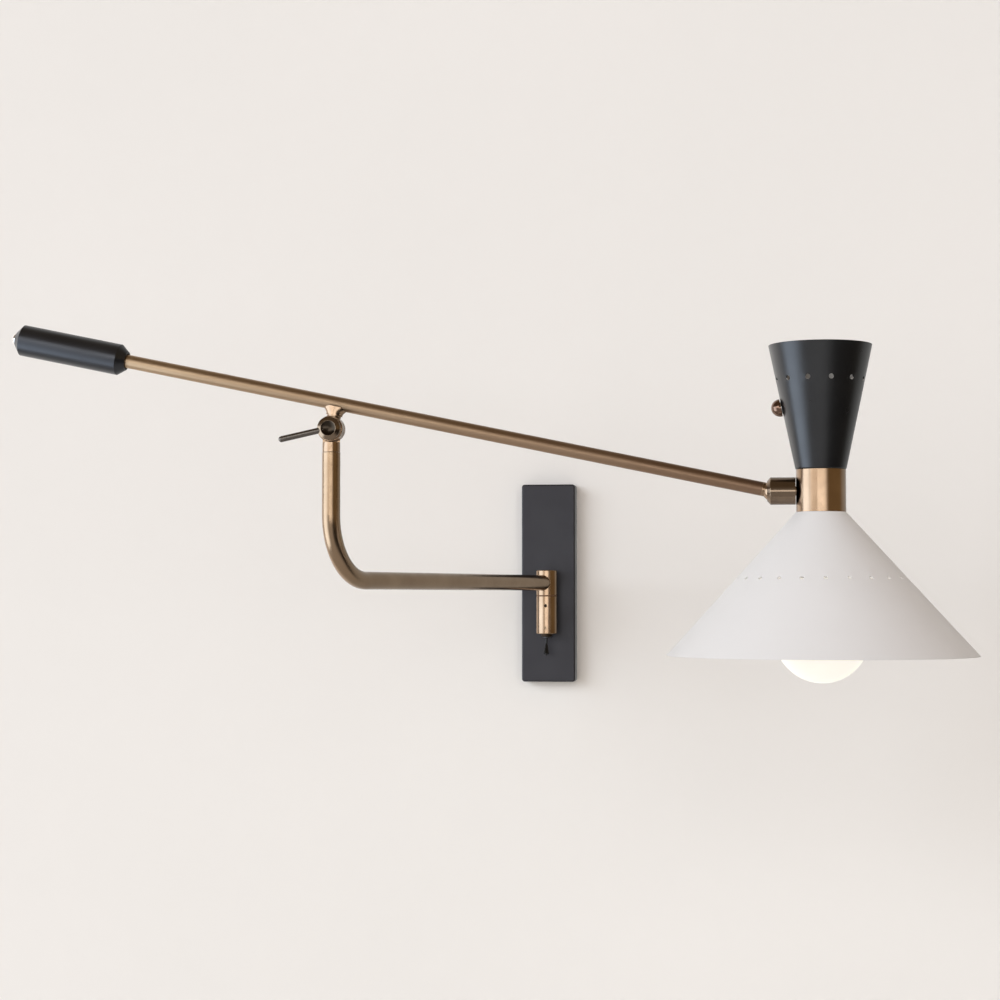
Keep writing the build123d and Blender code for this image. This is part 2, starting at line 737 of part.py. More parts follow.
with BuildPart() as pivot_nut:
    add(
        hex_nut(
            Plane(barrel_foot + up * pivot_nut_bottom),
            PIVOT_NUT_FLATS,
            PIVOT_DIAMETER + 2 * RUN_GAP,
            PIVOT_NUT_HEIGHT,
        )
    )
finish("pivot_nut", pivot_nut.part)

# Lower arm: a level run out of the barrel, one bend and the upright post
post_top = KNUCKLE_HEIGHT - POST_TOP_BELOW_KNUCKLE
arm_start = sqrt(upper_bore**2 - tube_radius**2)
arm_plane = Plane(barrel_foot, x_dir=lower_arm_way, z_dir=lower_arm_way.cross(up))

with BuildPart() as lower_arm:
    with BuildLine(arm_plane) as lower_arm_route:
        FilletPolyline(
            (arm_start, 0), (LOWER_ARM_REACH, 0), (LOWER_ARM_REACH, post_top), radius=BEND_RADIUS
        )
    with BuildSketch(Plane(barrel_foot + lower_arm_way * arm_start, x_dir=up, z_dir=lower_arm_way)):
        Circle(tube_radius)
        Circle(tube_radius - POST_WALL, mode=Mode.SUBTRACT)
    sweep(path=lower_arm_route.wires()[0])
    revolve(
        rod_outline(wall_lathe, UPPER_BARREL_BORE, upper_bottom, upper_top),
        axis=spin_axis(wall_lathe),
        mode=Mode.SUBTRACT,
    )
finish("lower_arm", lower_arm.part)

# Bush in the post's top, for the spigot of the knuckle
post_bore = POST_TUBE - 2 * POST_WALL
bush_bottom = post_top - BUSH_LENGTH

with BuildPart() as post_bush:
    revolve(
        ring_outline(
            post_lathe, post_bore - 2 * BRAZE_GAP, SPIGOT_DIAMETER + 2 * RUN_GAP, bush_bottom, post_top
        ),
        axis=spin_axis(post_lathe),
    )
finish("post_bush", post_bush.part)

# Knuckle base: spigot, ferrule and the eye on the wall side
eye_radius = EYE_DIAMETER / 2
eye_gap = KNUCKLE_WASHER / 2 + SEAT_GAP
ferrule_bottom = post_top + FREE_GAP
front_step = KNUCKLE_HEIGHT - eye_radius - FREE_GAP
clip_top = bush_bottom - SEAT_GAP
clip_bottom = clip_top - CLIP_THICK
spigot_end = clip_bottom - SPIGOT_TAIL
spigot_groove = SPIGOT_DIAMETER / 2 - CLIP_GROOVE
eye_outside = eye_gap + EYE_THICK
screw_hole = CLAMP_SCREW + 2 * RUN_GAP

with BuildPart() as knuckle_base:
    revolve(
        outline(
            post_lathe,
            (0, KNUCKLE_HEIGHT),
            (FERRULE_DIAMETER / 2, KNUCKLE_HEIGHT),
            (FERRULE_DIAMETER / 2, ferrule_bottom),
            (SPIGOT_DIAMETER / 2, ferrule_bottom),
            (SPIGOT_DIAMETER / 2, clip_top),
            (spigot_groove, clip_top),
            (spigot_groove, clip_bottom),
            (SPIGOT_DIAMETER / 2, clip_bottom),
            (SPIGOT_DIAMETER / 2, spigot_end),
            (SPIGOT_BORE / 2, spigot_end),
            (SPIGOT_BORE / 2, front_step - SPIGOT_BORE / 2),
            (0, front_step - SPIGOT_BORE / 2),
        ),
        axis=spin_axis(post_lathe),
    )
    for face, way in ((eye_gap, -into_wall), (eye_outside, into_wall)):
        with BuildSketch(Plane(post_foot + into_wall * face + up * front_step, x_dir=up, z_dir=way)):
            Rectangle(EYE_DIAMETER, EYE_DIAMETER, align=(Align.MIN, Align.CENTER))
        extrude(amount=EYE_DIAMETER, mode=Mode.SUBTRACT)
    revolve(
        outline(
            knuckle_lathe,
            (0, -eye_gap),
            (eye_radius, -eye_gap),
            (eye_radius, EYE_CHAMFER - eye_outside),
            (eye_radius - EYE_CHAMFER, -eye_outside),
            (0, -eye_outside),
        ),
        axis=spin_axis(knuckle_lathe),
    )
    revolve(
        rod_outline(knuckle_lathe, screw_hole, -EYE_DIAMETER, EYE_DIAMETER),
        axis=spin_axis(knuckle_lathe),
        mode=Mode.SUBTRACT,
    )
finish("knuckle_base", knuckle_base.part)

with BuildPart() as spigot_clip:
    revolve(
        ring_outline(
            post_lathe,
            CLIP_DIAMETER,
            2 * (spigot_groove + RUN_GAP),
            clip_bottom + RUN_GAP,
            clip_top - RUN_GAP,
        ),
        axis=spin_axis(post_lathe),
    )
finish("spigot_clip", spigot_clip.part)

with BuildPart() as clamp_nut:
    add(
        hex_nut(
            Plane(knuckle + into_wall * eye_outside, x_dir=up, z_dir=into_wall),
            CLAMP_NUT_FLATS,
            screw_hole,
            CLAMP_NUT_HEIGHT,
        )
    )
finish("clamp_nut", clamp_nut.part)

# Tee under the long arm: eye on the room side, and a stub that flares along the arm and wraps the tube from below
arm_radius = ARM_TUBE / 2
eye_clear = eye_radius + FREE_GAP
flare_start = eye_clear + STUB_NECK
tube_underside = ARM_ABOVE_KNUCKLE - arm_radius
flare_middle = (flare_start + tube_underside) / 2
flare_sections = (
    (flare_start, 0),
    (flare_middle, FLARE_HALFWAY),
    (tube_underside, FLARE_UNDER_TUBE),
    (tube_underside + STUB_WRAP, FLARE_REACH),
)

with BuildPart() as arm_tee:
    revolve(rod_outline(stub_lathe, STUB_CORE, 0, flare_middle), axis=spin_axis(stub_lathe))
    with BuildSketch(Plane(knuckle - into_wall * eye_gap, x_dir=long_arm_way, z_dir=into_wall)):
        Circle(eye_clear)
    extrude(amount=EYE_DIAMETER, mode=Mode.SUBTRACT)
    revolve(
        outline(
            knuckle_lathe,
            (0, eye_gap),
            (eye_radius, eye_gap),
            (eye_radius, eye_outside - EYE_CHAMFER),
            (eye_radius - EYE_CHAMFER, eye_outside),
            (0, eye_outside),
        ),
        axis=spin_axis(knuckle_lathe),
    )
    for height, spread in flare_sections:
        with BuildSketch(Plane(knuckle + long_arm_up * height, x_dir=long_arm_way, z_dir=long_arm_up)):
            Ellipse(STUB_WIDTH / 2 + spread, STUB_DEPTH / 2)
    loft()
    revolve(
        rod_outline(arm_lathe, ARM_TUBE + 2 * BRAZE_GAP, -STUB_WIDTH, STUB_WIDTH),
        axis=spin_axis(arm_lathe),
        mode=Mode.SUBTRACT,
    )
    revolve(
        rod_outline(knuckle_lathe, screw_hole, -EYE_DIAMETER, EYE_DIAMETER),
        axis=spin_axis(knuckle_lathe),
        mode=Mode.SUBTRACT,
    )
finish("arm_tee", arm_tee.part)

with BuildPart() as knuckle_washer:
    revolve(
        ring_outline(
            knuckle_lathe,
            KNUCKLE_WASHER_DIAMETER,
            CLAMP_SCREW + 2 * SEAT_GAP,
            -KNUCKLE_WASHER / 2,
            KNUCKLE_WASHER / 2,
        ),
        axis=spin_axis(knuckle_lathe),
    )
finish("knuckle_washer", knuckle_washer.part)

# Clamp screw with a dished head, and its lever
head_back = eye_outside + FREE_GAP
head_front = head_back + CLAMP_HEAD_THICK
head_radius = CLAMP_HEAD_DIAMETER / 2
dish_radius = CLAMP_DISH_DIAMETER / 2
screw_tail = eye_outside + CLAMP_NUT_HEIGHT + FREE_GAP
dish_curve = (dish_radius**2 + CLAMP_DISH_DEPTH**2) / (2 * CLAMP_DISH_DEPTH)
lever_drop = radians(LEVER_DROP)
lever_way = Vector(-cos(lever_drop), 0, -sin(lever_drop))
lever_foot = knuckle - into_wall * (head_back + CLAMP_HEAD_THICK / 2)
lever_lathe = lathe_plane(lever_foot, lever_way)

with BuildPart() as clamp_screw:
    with BuildSketch(knuckle_lathe):
        with BuildLine():
            Polyline(
                (0, head_front - CLAMP_DISH_DEPTH),
                (0, -screw_tail),
                (CLAMP_SCREW / 2, -screw_tail),
                (CLAMP_SCREW / 2, head_back),
                (head_radius, head_back),
                (head_radius, head_front - CLAMP_HEAD_BEVEL),
                (dish_radius, head_front),
            )
            RadiusArc((dish_radius, head_front), (0, head_front - CLAMP_DISH_DEPTH), dish_curve)
        make_face()
    revolve(axis=spin_axis(knuckle_lathe))
    revolve(
        rod_outline(lever_lathe, LEVER_DIAMETER + 2 * BRAZE_GAP, LEVER_ROOT, CLAMP_HEAD_DIAMETER),
        axis=spin_axis(lever_lathe),
        mode=Mode.SUBTRACT,
    )
finish("clamp_screw", clamp_screw.part)

with BuildPart() as lever_rod:
    revolve(
        rod_outline(lever_lathe, LEVER_DIAMETER, LEVER_ROOT, LEVER_LENGTH), axis=spin_axis(lever_lathe)
    )
    fillet(lever_rod.edges().filter_by(GeomType.CIRCLE).sort_by(Axis.X)[0], LEVER_TIP_ROUND)
finish("lever_rod", lever_rod.part)

# Long arm tube, from the counterweight to the ball
ball_radius = BALL_DIAMETER / 2
neck_foot = sqrt(ball_radius**2 - arm_radius**2)
tube_end = BALL_FROM_KNUCKLE - neck_foot - BALL_NECK
weight_inner = -WEIGHT_FROM_KNUCKLE
weight_outer = weight_inner - WEIGHT_LENGTH
tube_start = weight_inner - WEIGHT_GRIP
arm_bore = ARM_TUBE - 2 * ARM_WALL

with BuildPart() as long_arm_tube:
    revolve(ring_outline(arm_lathe, ARM_TUBE, arm_bore, tube_start, tube_end), axis=spin_axis(arm_lathe))
finish("long_arm_tube", long_arm_tube.part)

with BuildPart() as counterweight:
    revolve(
        outline(
            arm_lathe,
            (0, tube_start),
            (arm_radius + BRAZE_GAP, tube_start),
            (arm_radius + BRAZE_GAP, weight_inner - WEIGHT_RECESS_DEPTH),
            (WEIGHT_RECESS_DIAMETER / 2, weight_inner - WEIGHT_RECESS_DEPTH),
            (WEIGHT_RECESS_DIAMETER / 2, weight_inner),
            (WEIGHT_INNER_FACE / 2, weight_inner),
            (WEIGHT_DIAMETER / 2, weight_inner - WEIGHT_INNER_TAPER),
            (WEIGHT_DIAMETER / 2, weight_outer + WEIGHT_OUTER_TAPER),
            (WEIGHT_OUTER_FACE / 2, weight_outer),
            (FINIAL_STEM / 2 + BRAZE_GAP, weight_outer),
            (FINIAL_STEM / 2 + BRAZE_GAP, weight_outer + FINIAL_STEM_LENGTH),
            (0, weight_outer + FINIAL_STEM_LENGTH),
        ),
        axis=spin_axis(arm_lathe),
    )
finish("counterweight", counterweight.part)

finial_radius = FINIAL_DIAMETER / 2
finial_curve = (finial_radius**2 + FINIAL_HEIGHT**2) / (2 * FINIAL_HEIGHT)

with BuildPart() as end_finial:
    with BuildSketch(arm_lathe):
        with BuildLine():
            Polyline(
                (0, weight_outer - FINIAL_HEIGHT),
                (0, weight_outer + FINIAL_STEM_LENGTH),
                (FINIAL_STEM / 2, weight_outer + FINIAL_STEM_LENGTH),
                (FINIAL_STEM / 2, weight_outer),
                (finial_radius, weight_outer),
            )
            RadiusArc((finial_radius, weight_outer), (0, weight_outer - FINIAL_HEIGHT), finial_curve)
        make_face()
    revolve(axis=spin_axis(arm_lathe))
finish("end_finial", end_finial.part)

# Ball on the arm's end, hollow for the wires
wire_radius = SWIVEL_STUD_BORE / 2
ball_back = sqrt(ball_radius**2 - wire_radius**2)
stem_radius = arm_bore / 2 - BRAZE_GAP

with BuildPart() as arm_ball:
    with BuildSketch(arm_lathe):
        with BuildLine():
            ThreePointArc(
                (wire_radius, BALL_FROM_KNUCKLE + ball_back),
                (ball_radius, BALL_FROM_KNUCKLE),
                (arm_radius, BALL_FROM_KNUCKLE - neck_foot),
            )
            Polyline(
                (arm_radius, BALL_FROM_KNUCKLE - neck_foot),
                (arm_radius, tube_end),
                (stem_radius, tube_end),
                (stem_radius, tube_end - BALL_STEM_LENGTH),
                (wire_radius, tube_end - BALL_STEM_LENGTH),
                (wire_radius, BALL_FROM_KNUCKLE + ball_back),
            )
        make_face()
    revolve(axis=spin_axis(arm_lathe))
finish("arm_ball", arm_ball.part)

# Swivel housing with its nose ring and the seat behind the ball
housing_radius = HOUSING_DIAMETER / 2
housing_bore = HOUSING_BORE / 2
collar_radius = COLLAR_DIAMETER / 2
housing_end = BALL_TO_HEAD_AXIS - collar_radius - FREE_GAP
end_wall = housing_end - HOUSING_END_WALL
nose_back = NOSE_TAPER - NOSE_REACH
socket_radius = ball_radius + RUN_GAP
lip_radius = NOSE_MOUTH / 2
lip_height = -sqrt(socket_radius**2 - lip_radius**2)
spigot_radius = housing_bore - RUN_GAP
spigot_back = nose_back + NOSE_SPIGOT
spigot_bore = sqrt(socket_radius**2 - spigot_back**2)
seat_back = SEAT_START + SEAT_LENGTH
seat_step = seat_back + RUN_GAP

with BuildPart() as ball_housing:
    revolve(
        outline(
            fitting_lathe,
            (housing_bore, nose_back),
            (housing_radius, nose_back),
            (housing_radius, housing_end),
            (SWIVEL_STUD / 2 + RUN_GAP, housing_end),
            (SWIVEL_STUD / 2 + RUN_GAP, end_wall),
            (SEAT_STEP_DIAMETER / 2, end_wall),
            (SEAT_STEP_DIAMETER / 2, seat_step),
            (housing_bore, seat_step),
        ),
        axis=spin_axis(fitting_lathe),
    )
finish("ball_housing", ball_housing.part)

with BuildPart() as nose_ring:
    with BuildSketch(fitting_lathe):
        with BuildLine():
            Polyline(
                (lip_radius, lip_height),
                (lip_radius + NOSE_LIP, -NOSE_REACH),
                (lip_radius + 2 * NOSE_LIP, -NOSE_REACH),
                (housing_radius, nose_back),
                (spigot_radius, nose_back),
                (spigot_radius, spigot_back),
                (spigot_bore, spigot_back),
            )
            RadiusArc((spigot_bore, spigot_back), (lip_radius, lip_height), socket_radius)
        make_face()
    revolve(axis=spin_axis(fitting_lathe))
finish("nose_ring", nose_ring.part)

seat_mouth = sqrt(socket_radius**2 - SEAT_START**2)
seat_bore = SEAT_BORE / 2
seat_bore_height = sqrt(socket_radius**2 - seat_bore**2)

with BuildPart() as ball_seat:
    with BuildSketch(fitting_lathe):
        with BuildLine():
            RadiusArc((seat_mouth, SEAT_START), (seat_bore, seat_bore_height), -socket_radius)
            Polyline(
                (seat_bore, seat_bore_height),
                (seat_bore, seat_back),
                (spigot_radius, seat_back),
                (spigot_radius, SEAT_START),
                (seat_mouth, SEAT_START),
            )
        make_face()
    revolve(axis=spin_axis(fitting_lathe))
finish("ball_seat", ball_seat.part)

# Swivel stud between housing and collar, with its nut inside the collar
flange_front = end_wall - SEAT_GAP
nut_corner = SWIVEL_NUT_FLATS / 2 / cos(pi / NUT_SIDES)
collar_bore = collar_radius - COLLAR_WALL
swivel_nut_seat = BALL_TO_HEAD_AXIS - sqrt(collar_bore**2 - nut_corner**2) + SEAT_GAP
stud_end = swivel_nut_seat + SWIVEL_NUT_HEIGHT + SEAT_GAP

with BuildPart() as swivel_stud:
    revolve(
        outline(
            fitting_lathe,
            (wire_radius, flange_front - SWIVEL_FLANGE_THICK),
            (SWIVEL_FLANGE / 2, flange_front - SWIVEL_FLANGE_THICK),
            (SWIVEL_FLANGE / 2, flange_front),
            (SWIVEL_STUD / 2, flange_front),
            (SWIVEL_STUD / 2, stud_end),
            (wire_radius, stud_end),
        ),
        axis=spin_axis(fitting_lathe),
    )
finish("swivel_stud", swivel_stud.part)

with BuildPart() as swivel_nut:
    add(
        hex_nut(
            Plane(ball_centre + Vector(swivel_nut_seat, 0, 0), x_dir=up, z_dir=(1, 0, 0)),
            SWIVEL_NUT_FLATS,
            SWIVEL_STUD + 2 * RUN_GAP,
            SWIVEL_NUT_HEIGHT,
        )
    )
finish("swivel_nut", swivel_nut.part)

with BuildPart() as collar:
    revolve(
        ring_outline(head_lathe, COLLAR_DIAMETER, 2 * collar_bore, -COLLAR_HEIGHT / 2, COLLAR_HEIGHT / 2),
        axis=spin_axis(head_lathe),
    )
    revolve(
        rod_outline(fitting_lathe, SWIVEL_STUD + 2 * BRAZE_GAP, 0, BALL_TO_HEAD_AXIS),
        axis=spin_axis(fitting_lathe),
        mode=Mode.SUBTRACT,
    )
finish("collar", collar.part)


def wall_planes(count, phase, radius, height, slope):
    """Planes around the head's axis, square to a cone of the given slope of radius over height."""
    planes = []
    for index in range(count):
        turn = 2 * pi * (index + phase) / count
        outward = Vector(sin(turn), -cos(turn), 0)
        square = (outward - up * slope).normalized()
        middle = head_centre + outward * radius + up * height
        planes.append(Plane(middle, x_dir=outward.cross(up), z_dir=square))
    return planes


# Black cup above the collar, open at the top
cup_foot = COLLAR_HEIGHT / 2
cup_rim = cup_foot + CUP_HEIGHT
cup_slope = (CUP_TOP_DIAMETER - CUP_FOOT_DIAMETER) / 2 / CUP_HEIGHT
cup_wall = SHEET * hypot(1, cup_slope)
nipple_hole = NIPPLE_DIAMETER / 2 + SEAT_GAP
cup_hole_height = cup_rim - CUP_HOLES_BELOW_RIM


def cup_radius(height):
    """Outer radius of the cup at a height above the fitting."""
    return CUP_FOOT_DIAMETER / 2 + (height - cup_foot) * cup_slope


knob_lean = atan2(cup_slope, 1)
knob_seat = head_centre + Vector(-cup_radius(KNOB_ABOVE_FITTING), 0, KNOB_ABOVE_FITTING)
knob_lathe = lathe_plane(knob_seat, Vector(-cos(knob_lean), 0, -sin(knob_lean)))

with BuildPart() as cup:
    revolve(
        outline(
            head_lathe,
            (nipple_hole, cup_foot),
            (CUP_FOOT_DIAMETER / 2, cup_foot),
            (CUP_TOP_DIAMETER / 2, cup_rim),
            (CUP_TOP_DIAMETER / 2 - cup_wall, cup_rim),
            (cup_radius(cup_foot + SHEET) - cup_wall, cup_foot + SHEET),
            (nipple_hole, cup_foot + SHEET),
        ),
        axis=spin_axis(head_lathe),
    )
    fillet(cup.edges().group_by(Axis.Z)[0].sort_by(SortBy.LENGTH)[-1], CUP_FOOT_ROUND)
    with BuildSketch(
        *wall_planes(CUP_HOLES, CUP_HOLE_PHASE, cup_radius(cup_hole_height), cup_hole_height, cup_slope)
    ):
        Circle(CUP_HOLE_DIAMETER / 2)
    extrude(amount=SHEET_CUT, both=True, mode=Mode.SUBTRACT)
    revolve(
        rod_outline(knob_lathe, ROTARY_BUSHING + 2 * RUN_GAP, -SHEET_CUT, SHEET_CUT),
        axis=spin_axis(knob_lathe),
        mode=Mode.SUBTRACT,
    )
finish("cup", cup.part)

# White cone under the collar
cone_top = -COLLAR_HEIGHT / 2
cone_rim = cone_top - CONE_HEIGHT
cone_slope = (CONE_RIM_DIAMETER - CONE_TOP_DIAMETER) / 2 / CONE_HEIGHT
cone_wall = SHEET * hypot(1, cone_slope)
cone_hole_height = cone_top - CONE_HOLES_BELOW_TOP
cone_hole_radius = CONE_TOP_DIAMETER / 2 + CONE_HOLES_BELOW_TOP * cone_slope

with BuildPart() as cone_shade:
    revolve(
        outline(
            head_lathe,
            (nipple_hole, cone_top),
            (CONE_TOP_DIAMETER / 2, cone_top),
            (CONE_RIM_DIAMETER / 2, cone_rim),
            (CONE_RIM_DIAMETER / 2 - cone_wall, cone_rim),
            (CONE_TOP_DIAMETER / 2 + SHEET * cone_slope - cone_wall, cone_top - SHEET),
            (nipple_hole, cone_top - SHEET),
        ),
        axis=spin_axis(head_lathe),
    )
    with BuildSketch(
        *wall_planes(CONE_HOLES, CONE_HOLE_PHASE, cone_hole_radius, cone_hole_height, -cone_slope)
    ):
        Circle(CONE_HOLE_DIAMETER / 2)
    extrude(amount=SHEET_CUT, both=True, mode=Mode.SUBTRACT)
finish("cone_shade", cone_shade.part)

# Centre tube that draws cup, collar and cone together
cup_floor = cup_foot + SHEET
cone_ceiling = cone_top - SHEET
cone_nut_bottom = cone_ceiling - NIPPLE_NUT_HEIGHT
holder_top = cone_nut_bottom - SEAT_GAP
holder_joint = holder_top - HOLDER_CAP_HEIGHT
nipple_bottom = holder_top - HOLDER_THREAD
holder_radius = HOLDER_DIAMETER / 2

with BuildPart() as centre_tube:
    revolve(
        ring_outline(
            head_lathe, NIPPLE_DIAMETER, NIPPLE_BORE, nipple_bottom, cup_floor + NIPPLE_ABOVE_CUP_FLOOR
        ),
        axis=spin_axis(head_lathe),
    )
finish("centre_tube", centre_tube.part)

with BuildPart() as cup_washer:
    revolve(
        ring_outline(
            head_lathe, CUP_WASHER_DIAMETER, 2 * nipple_hole, cup_floor, cup_floor + CUP_WASHER_THICK
        ),
        axis=spin_axis(head_lathe),
    )
finish("cup_washer", cup_washer.part)

for nut_name, nut_seat in (("cup_nut", cup_floor + CUP_WASHER_THICK), ("cone_nut", cone_nut_bottom)):
    with BuildPart() as nipple_nut:
        add(
            hex_nut(
                Plane(head_centre + up * nut_seat),
                NIPPLE_NUT_FLATS,
                NIPPLE_DIAMETER + 2 * RUN_GAP,
                NIPPLE_NUT_HEIGHT,
            )
        )
    finish(nut_name, nipple_nut.part)

# Lampholder under the cone
holder_wall_bore = holder_radius - HOLDER_WALL
cap_shoulder = holder_top - HOLDER_NECK_LENGTH
cap_skirt = holder_joint + HOLDER_SKIRT
cap_roof = holder_top - HOLDER_THREAD
nipple_thread = NIPPLE_DIAMETER / 2 + RUN_GAP

with BuildPart() as lampholder_cap:
    revolve(
        outline(
            head_lathe,
            (nipple_thread, holder_top),
            (HOLDER_NECK_DIAMETER / 2, holder_top),
            (HOLDER_NECK_DIAMETER / 2, cap_shoulder),
            (holder_radius, cap_skirt),
            (holder_radius, holder_joint),
            (holder_wall_bore, holder_joint),
            (holder_wall_bore, cap_skirt),
            (HOLDER_NECK_DIAMETER / 2, cap_roof),
            (nipple_thread, cap_roof),
        ),
        axis=spin_axis(head_lathe),
    )
finish("lampholder_cap", lampholder_cap.part)

holder_floor = holder_joint - HOLDER_FLOOR
holder_mouth = holder_joint - HOLDER_BODY_HEIGHT

with BuildPart() as lampholder_body:
    revolve(
        outline(
            head_lathe,
            (wire_radius, holder_joint),
            (holder_radius, holder_joint),
            (holder_radius, holder_mouth),
            (holder_wall_bore, holder_mouth),
            (holder_wall_bore, holder_floor),
            (wire_radius, holder_floor),
        ),
        axis=spin_axis(head_lathe),
    )
    fillet(lampholder_body.edges().group_by(Axis.Z)[0].sort_by(SortBy.LENGTH)[-1], HOLDER_ROUND)
finish("lampholder_body", lampholder_body.part)

with BuildPart() as lampholder_sleeve:
    revolve(
        ring_outline(
            head_lathe,
            SLEEVE_OUTER,
            SLEEVE_OUTER - 2 * SLEEVE_WALL,
            holder_floor - SLEEVE_HEIGHT,
            holder_floor,
        ),
        axis=spin_axis(head_lathe),
    )
finish("lampholder_sleeve", lampholder_sleeve.part)

contact_tip = holder_floor - CONTACT_HEIGHT

with BuildPart() as lampholder_contact:
    revolve(rod_outline(head_lathe, CONTACT_DIAMETER, contact_tip, holder_floor), axis=spin_axis(head_lathe))
finish("lampholder_contact", lampholder_contact.part)

# Bulb: metal screw cap and opal globe with a conical neck
bulb_tip = contact_tip
cap_top = bulb_tip - BULB_CAP_TIP
glass_top = cap_top - BULB_CAP_LENGTH
cap_bore = BULB_CAP_DIAMETER / 2 - BULB_CAP_WALL

with BuildPart() as bulb_cap:
    revolve(
        outline(
            head_lathe,
            (0, bulb_tip),
            (BULB_CAP_TIP_DIAMETER / 2, bulb_tip),
            (BULB_CAP_DIAMETER / 2, cap_top),
            (BULB_CAP_DIAMETER / 2, glass_top),
            (cap_bore, glass_top),
            (cap_bore, cap_top),
            (0, cap_top),
        ),
        axis=spin_axis(head_lathe),
    )
finish("bulb_cap", bulb_cap.part)

globe_centre = -BULB_CENTRE_BELOW_FITTING


def neck_tangent(neck_radius, radius):
    """Point where a straight neck line from the cap touches a globe of the given radius."""
    rise = glass_top - globe_centre
    turn = atan2(neck_radius, rise) + acos(radius / hypot(neck_radius, rise))
    return radius * sin(turn), globe_centre + radius * cos(turn)


globe_radius = BULB_DIAMETER / 2
glass_radius = globe_radius - BULB_GLASS
neck_radius = BULB_NECK_DIAMETER / 2
neck_bore = neck_radius - BULB_GLASS

with BuildPart() as bulb_globe:
    with BuildSketch(head_lathe):
        with BuildLine():
            Line((neck_bore, glass_top), (neck_radius, glass_top))
            Line((neck_radius, glass_top), neck_tangent(neck_radius, globe_radius))
            ThreePointArc(
                neck_tangent(neck_radius, globe_radius),
                (globe_radius, globe_centre),
                (0, globe_centre - globe_radius),
            )
            Line((0, globe_centre - globe_radius), (0, globe_centre - glass_radius))
            ThreePointArc(
                (0, globe_centre - glass_radius),
                (glass_radius, globe_centre),
                neck_tangent(neck_bore, glass_radius),
            )
            Line(neck_tangent(neck_bore, glass_radius), (neck_bore, glass_top))
        make_face()
    revolve(axis=spin_axis(head_lathe))
finish("bulb_globe", bulb_globe.part)

# Rotary switch inside the cup, its ring nut, and the knob on its shaft
rotary_face = -SHEET - ROTARY_STAND_OFF
shaft_bore = ROTARY_SHAFT / 2
shaft_bottom = -ROTARY_SHAFT_DEPTH
knob_back = KNOB_STAND_OFF
knob_floor = knob_back + KNOB_RECESS_DEPTH
shaft_tip = knob_floor + ROTARY_SHAFT_BITE
knob_radius = KNOB_DIAMETER / 2
knob_top = knob_back + KNOB_HEIGHT
dome_foot = knob_back + KNOB_EDGE
dome_rise = knob_top - dome_foot
dome_curve = (knob_radius**2 + dome_rise**2) / (2 * dome_rise)

with BuildPart() as rotary_switch:
    revolve(
        outline(
            knob_lathe,
            (0, rotary_face - ROTARY_LENGTH),
            (ROTARY_DIAMETER / 2, rotary_face - ROTARY_LENGTH),
            (ROTARY_DIAMETER / 2, rotary_face),
            (ROTARY_BUSHING / 2, rotary_face),
            (ROTARY_BUSHING / 2, ROTARY_BUSHING_REACH),
            (shaft_bore, ROTARY_BUSHING_REACH),
            (shaft_bore, shaft_bottom - SEAT_GAP),
            (0, shaft_bottom - SEAT_GAP),
        ),
        axis=spin_axis(knob_lathe),
    )
finish("rotary_switch", rotary_switch.part)

with BuildPart() as rotary_nut:
    revolve(
        ring_outline(
            knob_lathe, ROTARY_NUT_DIAMETER, ROTARY_BUSHING + 2 * RUN_GAP, RUN_GAP, RUN_GAP + ROTARY_NUT_THICK
        ),
        axis=spin_axis(knob_lathe),
    )
finish("rotary_nut", rotary_nut.part)

with BuildPart() as knob_shaft:
    revolve(
        rod_outline(knob_lathe, ROTARY_SHAFT - 2 * RUN_GAP, shaft_bottom, shaft_tip),
        axis=spin_axis(knob_lathe),
    )
finish("knob_shaft", knob_shaft.part)

with BuildPart() as switch_knob:
    with BuildSketch(knob_lathe):
        with BuildLine():
            Polyline(
                (0, knob_top),
                (0, shaft_tip),
                (shaft_bore, shaft_tip),
                (shaft_bore, knob_floor),
                (KNOB_RECESS_DIAMETER / 2, knob_floor),
                (KNOB_RECESS_DIAMETER / 2, knob_back),
                (knob_radius, knob_back),
                (knob_radius, dome_foot),
            )
            RadiusArc((knob_radius, dome_foot), (0, knob_top), -dome_curve)
        make_face()
    revolve(axis=spin_axis(knob_lathe))
finish("switch_knob", switch_knob.part)

os.makedirs("parts", exist_ok=True)
for name, part in made.items():
    export_step(part, f"parts/{name}.step")
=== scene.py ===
import json
import math

import bpy
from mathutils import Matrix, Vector


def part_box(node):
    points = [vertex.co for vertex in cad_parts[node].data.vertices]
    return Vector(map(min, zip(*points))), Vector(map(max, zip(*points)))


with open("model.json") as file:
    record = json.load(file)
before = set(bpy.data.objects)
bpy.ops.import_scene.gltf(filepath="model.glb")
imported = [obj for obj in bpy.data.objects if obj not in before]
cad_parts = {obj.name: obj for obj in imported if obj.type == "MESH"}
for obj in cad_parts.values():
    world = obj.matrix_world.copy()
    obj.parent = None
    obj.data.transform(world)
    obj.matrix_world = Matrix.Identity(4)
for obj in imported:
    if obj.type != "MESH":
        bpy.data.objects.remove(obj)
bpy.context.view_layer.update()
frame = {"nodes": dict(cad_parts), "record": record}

nodes = frame["nodes"]
scene = bpy.context.scene

# Camera fitted to the photograph: place in metres, turns in degrees, lens and sensor in millimetres
CAMERA_AT = (0.2608, -2.2635, -0.0145)
CAMERA_YAW = 7.91
CAMERA_PITCH = 2.57
CAMERA_LENS = 77.65
CAMERA_SENSOR = 36.0
CAMERA_REACH = 50.0


def aim(obj, way):
    """Turns a camera or lamp so that it looks along a direction."""
    obj.rotation_euler = Vector(way).to_track_quat("-Z", "Y").to_euler()


